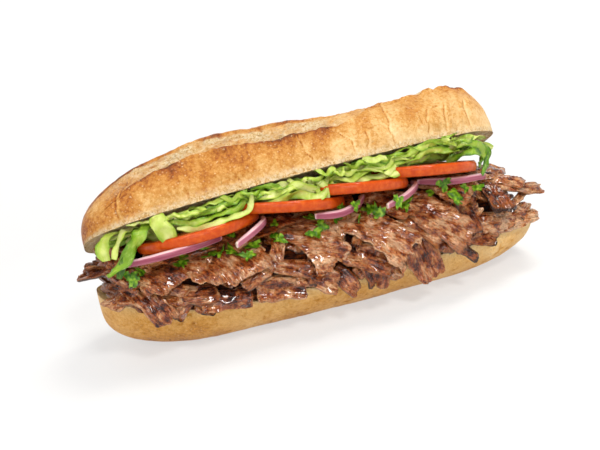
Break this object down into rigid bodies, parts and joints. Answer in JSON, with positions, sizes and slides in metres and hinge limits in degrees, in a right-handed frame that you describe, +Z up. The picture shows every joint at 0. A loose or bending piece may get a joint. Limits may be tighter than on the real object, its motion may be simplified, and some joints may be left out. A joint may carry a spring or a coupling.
{
  "type": "doner kebab sandwich",
  "caption": "Doner kebab sandwich: a split baguette heaped with shaved roast meat, red onion, tomato slices and shredded lettuce, with chopped parsley.",
  "frame": {"origin": "middle of the flat patch of the sole that the loaf rests on", "axes": "+X along the loaf towards its fuller end, +Z up, -Y the open front where the filling shows"},
  "size_m": [0.2842, 0.0949, 0.1169],
  "materials": {
    "crust_bottom": "golden tan baked crust with a pale cut edge",
    "crust_top": "golden brown baked crust with a pale torn slash and a dark lip",
    "meat": "roasted brown, juicy sheen, charred edges",
    "tomato": "wet red-orange flesh with a thin skin",
    "onion": "crisp white to purple layers",
    "lettuce": "crisp leaf, pale green ribs to bright green edges"
  },
  "bodies": {
    "root": {"bread_bottom": "crust_bottom", "bread_top": "crust_top", "meat": "meat", "tomato_1": "tomato", "tomato_2": "tomato", "tomato_3": "tomato", "tomato_4": "tomato", "onion_1": "onion", "onion_2": "onion", "onion_3": "onion", "onion_4": "onion", "onion_5": "onion", "lettuce": "lettuce"}
  },
  "joints": []
}
